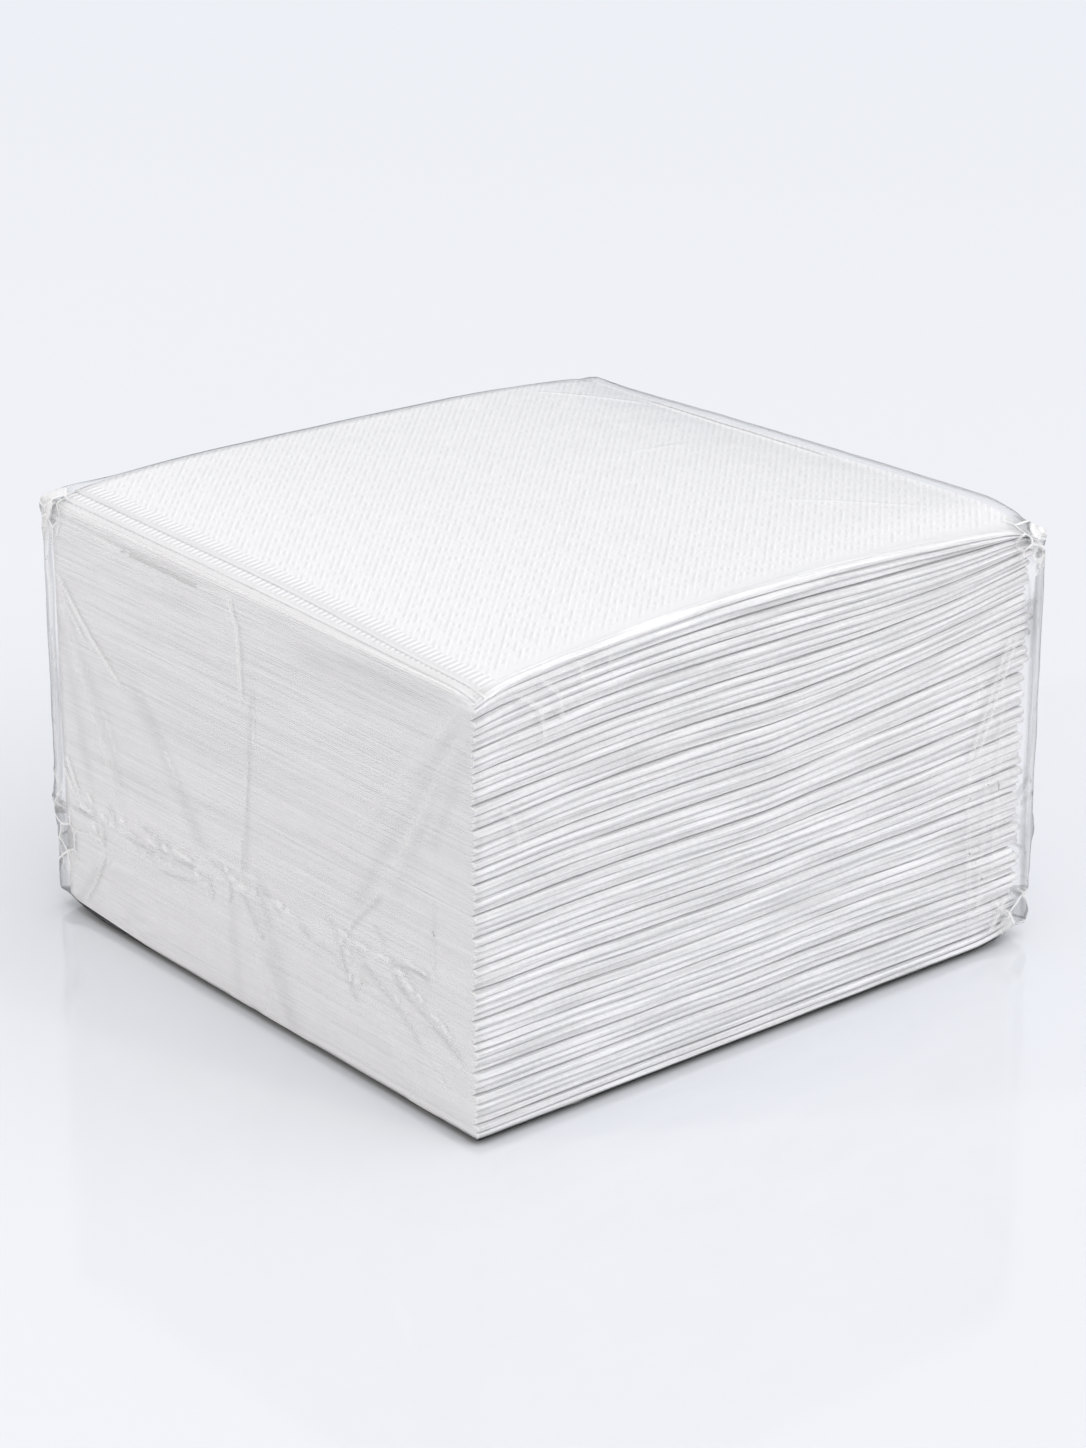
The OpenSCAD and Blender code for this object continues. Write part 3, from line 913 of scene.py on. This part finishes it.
for side, lines in creases.items():
    points = on_side(side, skin.verts[:], [v.co for v in skin.verts])
    # Points on the box's edges belong to two sides, and stay where they are.
    edges = {v for v, _, _ in points if sum(abs(v.co[k] - lim[k]) < 1e-6 for k in range(3)
                                            for lim in (box_low, box_high)) > 1}
    points = [p for p in points if p[0] not in edges]
    for crease in lines:
        mark_crease(points, crease, side_frames[side][3])

# %% [markdown]
# The seal is where the end of the tube was gathered and welded. It stands out as a low crumpled ridge.
# The puckers come from a noise whose cells are folded into sharp ridges, which is how thin film crumples.
# The tops of the puckers get painted highlights.

# %% Gathered seal and crumpled corners
seal_reach = 2.4
seal_rise = 0.7
pucker = 2.6
ear_reach = 12
ear_facet = 3.0
ear_rise = 1.1
strip_painted_grey = 0.19
top_painted_grey = 0.04


def ridges(x, y, z):
    """Sharp-ridged noise from 0 to 1."""
    return 1 - min(1.0, abs(noise.noise(Vector((x, y, z)))) * 2.6)


def seal_relief(a, b, seed):
    """The height in millimetres and the painted highlight of the gathered seal at one point of an end."""
    line_b = next(q[1] + (p[1] - q[1]) * (q[0] - a) / (q[0] - p[0])
                  for p, q in zip(seal_line, seal_line[1:]) if a <= q[0] or q is seal_line[-1])
    d = b - line_b
    if abs(d) > 3 * seal_reach:
        return 0.0, 0.0
    band = math.exp(-((d + 0.8) / seal_reach) ** 2)
    crumple = ridges(a / pucker, b / pucker, seed) ** 2
    return seal_rise * band * (0.45 + 0.55 * crumple), 0.10 * band * crumple ** 2


def ear_relief(x, y, z):
    """How the film is crushed near its loose corners: the height there, and how crushed it is."""
    height, crushed = 0.0, 0.0
    for ex, ey, ez in ((film_low.x, film_low.y, stack_top), (film_high.x, film_high.y, stack_top),
                       (film_high.x, film_high.y, 3 * MM), (film_low.x, film_low.y, 14 * MM)):
        d = math.dist((x, y, z), (ex, ey, ez)) / MM / ear_reach
        if d < 1:
            spots = noise.voronoi(Vector((x, y, z)) / (ear_facet * MM))[0]
            height += (1 - d) * ear_rise * (0.5 - spots[0])
            crushed = max(crushed, 1 - d)
    return height, crushed


def strip_shade(x, y, z, facing):
    """The painted shade of the film strips that stand off at the back and far end, and of the top beyond the
    hems.
    """
    if facing.z > 0.5:
        return top_painted_grey * smooth((y - hem_y) / MM)
    if not (facing.y < -0.5 and x < back_x - 0.2 * MM or facing.x > 0.5 and y > hem_y + 0.2 * MM):
        return 0.0
    streak = noise.noise(Vector((x / (0.7 * MM), y / (0.7 * MM), z / (18 * MM))))
    return strip_painted_grey * (0.85 + 0.9 * streak)


# %% [markdown]
# Now the skin is drawn over the stack. Its edges are rounded, its top follows the crown, and a small gap
# is left round the napkins, wide at the back and the far end. Creases that are drawn in use the gap up.

# %% Shape the film
middle_loose = 0.6
ripple_rise, fine_ripple_rise = 0.18, 0.06
top_ripple = 0.25
strip_rim_shadow, front_rim_shadow = 0.4, 0.9
back_sag = 1.3 * MM
far_ridge = 0.6 * MM


def loose(t):
    """How far the film stands off along a loose side: most at its two ends."""
    return middle_loose + (1 - middle_loose) * (2 * t - 1) ** 4


def rounded(point, low, high):
    """A point of a sharp box moved onto the same box with round edges, and the way it faces there."""
    inner = Vector([min(h - edge_round, max(l + edge_round, p)) for p, l, h in zip(point, low, high)])
    facing = (point - inner).normalized()
    return inner + facing * edge_round, facing


print("film over the stack, mm:", [round(v / MM, 2) for v in (*box_low, *box_high)])
for v in skin.verts:
    place, facing = rounded(v.co.copy(), box_low, box_high)
    t_y = (place.y - box_low.y) / (box_high.y - box_low.y)
    t_x = (place.x - box_low.x) / (box_high.x - box_low.x)
    back = smooth((back_x + 12 * MM - place.x) / (14 * MM))
    far = smooth((place.y - hem_y + 12 * MM) / (14 * MM))
    share = min(1.0, place.z / box_high.z)
    x = place.x + back * back_loose * MM * (1 - loose(t_y))
    y = place.y - far * far_loose * MM * (1 - loose(t_x))
    z = place.z + (stack_level(1.0, x, y) - stack_top) * share ** 2 + foot_rise(share, x, y)
    sag = smooth((y - cut_y) / (15 * MM) - 0.2) * (0.5 + 0.5 * smooth((hem_y - y) / (20 * MM)))
    z -= back_sag * share ** 3 * smooth((back_x - x) / (3 * MM)) * sag
    inland = smooth((nose_x - x) / (15 * MM)) * smooth((x - back_x) / (40 * MM))
    z += far_ridge * share ** 3 * smooth((y - hem_y + 1 * MM) / (2 * MM)) * inland
    out, white = v[push], v[milk_and_glint]
    if abs(facing.y) > 0.5:
        a = (x - back_x if facing.y < 0 else nose_x - x) / MM
        seal = seal_relief(a, z / MM, 1.3 if facing.y < 0 else 7.9)
        out, white = out + seal[0], max(white, seal[1])
    ear = ear_relief(x, y, z)
    ripple = ripple_rise * noise.noise(Vector((x, y, z)) / (9 * MM))
    ripple += fine_ripple_rise * noise.noise(Vector((x, y, z)) / (3 * MM))
    ripple *= 1 - (1 - top_ripple) * max(0.0, facing.z)
    if facing.z < -0.5:
        ripple, out = 0.0, 0.0
    out += ear[0] + ripple
    v[milk_and_glint], v[crush] = white, ear[1]
    stands_off = x < back_x - 1 * MM or y > hem_y + 1 * MM
    # Painted shadow: the film's lower rim is darkened, most at the front, as the contact shadow under the
    # pack.
    rim = (strip_rim_shadow if stands_off else front_rim_shadow) * smooth((-facing.z - 0.3) / 0.4) * (1 - ear[1])
    v[painted_shade] = max(v[painted_shade], rim, strip_shade(x, y, z, facing))
    v.co = Vector((x, y, z)) + facing * (out * MM)
print("highest point of the film, mm:", round(max(v.co.z for v in skin.verts) / MM, 1))

# %% [markdown]
# Wrapping film is clear polypropylene, blown thin and stretched. Straight on it is all but invisible. At
# a low angle the light runs a long way through it, so its edges look grey, and it mirrors the lamps
# sharply. Where it is creased it scatters light and turns white, partly as painted glints, and its pleats
# get painted shade. Its lower rim gets a painted contact shadow and its loose strips a painted grey. A
# second version with small facets of painted light and shade is for the crushed corners alone.

# %% Film
facet_scale = 230.0


def crushed_share(tree, place):
    """Painted facets near the corners: the painted shade of each, and the painted highlight of each and its
    rim.
    """
    crushed = add(tree, "Attribute", attribute_name="crush", attribute_type="GEOMETRY")
    corner = ramp(tree, crushed.outputs["Fac"], 0.25, 0.55)
    facets = add(tree, "TexVoronoi", {"Vector": place, "Scale": facet_scale})
    rims = add(tree, "TexVoronoi", {"Vector": place, "Scale": facet_scale}, feature="DISTANCE_TO_EDGE")
    lot = add(tree, "SeparateColor", {0: facets.outputs["Color"]}).outputs[0]
    grey = ramp(tree, lot, 0.50, 0.56, 0.0, 0.11)
    pale = ramp(tree, lot, 0.30, 0.36, 0.45, 0.0)
    rim = ramp(tree, rims.outputs["Distance"], 0.03, 0.07, 0.8, 0.0)
    white = calc(tree, "MAXIMUM", pale, rim)
    return calc(tree, "MULTIPLY", grey, corner), calc(tree, "MULTIPLY", white, corner)


def clear_film(name, crushed):
    """Blown polypropylene film: clear and glossy, grey at its edges and milky along its creases.

    Part of the milk is painted glints, and the film is darkened by painted shade where it is marked.
    """
    material, tree = new_material(name)
    place = add(tree, "TexCoord")
    wrinkles = grain(tree, place.outputs["Object"], 160.0, 1.0)
    bump = add(tree, "Bump", {"Height": wrinkles, "Strength": 0.12, "Distance": 0.0006})
    slant = add(tree, "LayerWeight", {"Blend": 0.5, "Normal": bump.outputs[0]})
    edge = calc(tree, "POWER", slant.outputs["Facing"], 10.0)
    tint = tinge(tree, edge, linear("FFFFFF"), linear("605F60"))
    shade = add(tree, "Attribute", attribute_name="painted_shade", attribute_type="GEOMETRY").outputs["Fac"]
    whitening_and_glint = add(tree, "Attribute", attribute_name="milk_and_glint", attribute_type="GEOMETRY").outputs["Fac"]
    if crushed:
        painted_facet_shade, painted_facet_glint = crushed_share(tree, place.outputs["Object"])
        shade = calc(tree, "MAXIMUM", shade, painted_facet_shade)
        whitening_and_glint = calc(tree, "MAXIMUM", whitening_and_glint, painted_facet_glint)
    # Painted shade: the light through the film is darkened towards this grey by the shade layer and facets.
    through = add(tree, "BsdfTransparent", {"Color": tinge(tree, shade, tint, linear("5A5C60"))})
    gloss = add(tree, "BsdfAnisotropic", {"Color": linear("FFFFFF"), "Roughness": 0.09,
                                          "Normal": bump.outputs[0]})
    mirror = ramp(tree, calc(tree, "POWER", slant.outputs["Facing"], 5.0), 0.0, 1.0, 0.018, 0.40)
    clear = add(tree, "MixShader", {0: mirror, 1: through.outputs[0], 2: gloss.outputs[0]})
    # Painted glints: part of the white along the creases, the weld and the facets stands for highlights.
    white = add(tree, "BsdfDiffuse", {"Color": linear("FFFFFF")})
    haze = calc(tree, "ADD", whitening_and_glint, 0.004)
    film = add(tree, "MixShader", {0: haze, 1: clear.outputs[0], 2: white.outputs[0]})
    show(tree, film)
    return material


crushed_from = 0.25
for face in skin.faces:
    face.material_index = int(max(v[crush] for v in face.verts) > crushed_from)
wrap = finish_mesh(skin, "clear_film_wrap")
wrap.data.materials.append(clear_film("clear_polypropylene_film", False))
wrap.data.materials.append(clear_film("crushed_polypropylene_film", True))
wall = wrap.modifiers.new("wall", "SOLIDIFY")
wall.thickness = film_t
wall.offset = -1
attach(wrap, "root")
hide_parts("film_wrap")
print("triangles in the film:", triangles_of(wrap))
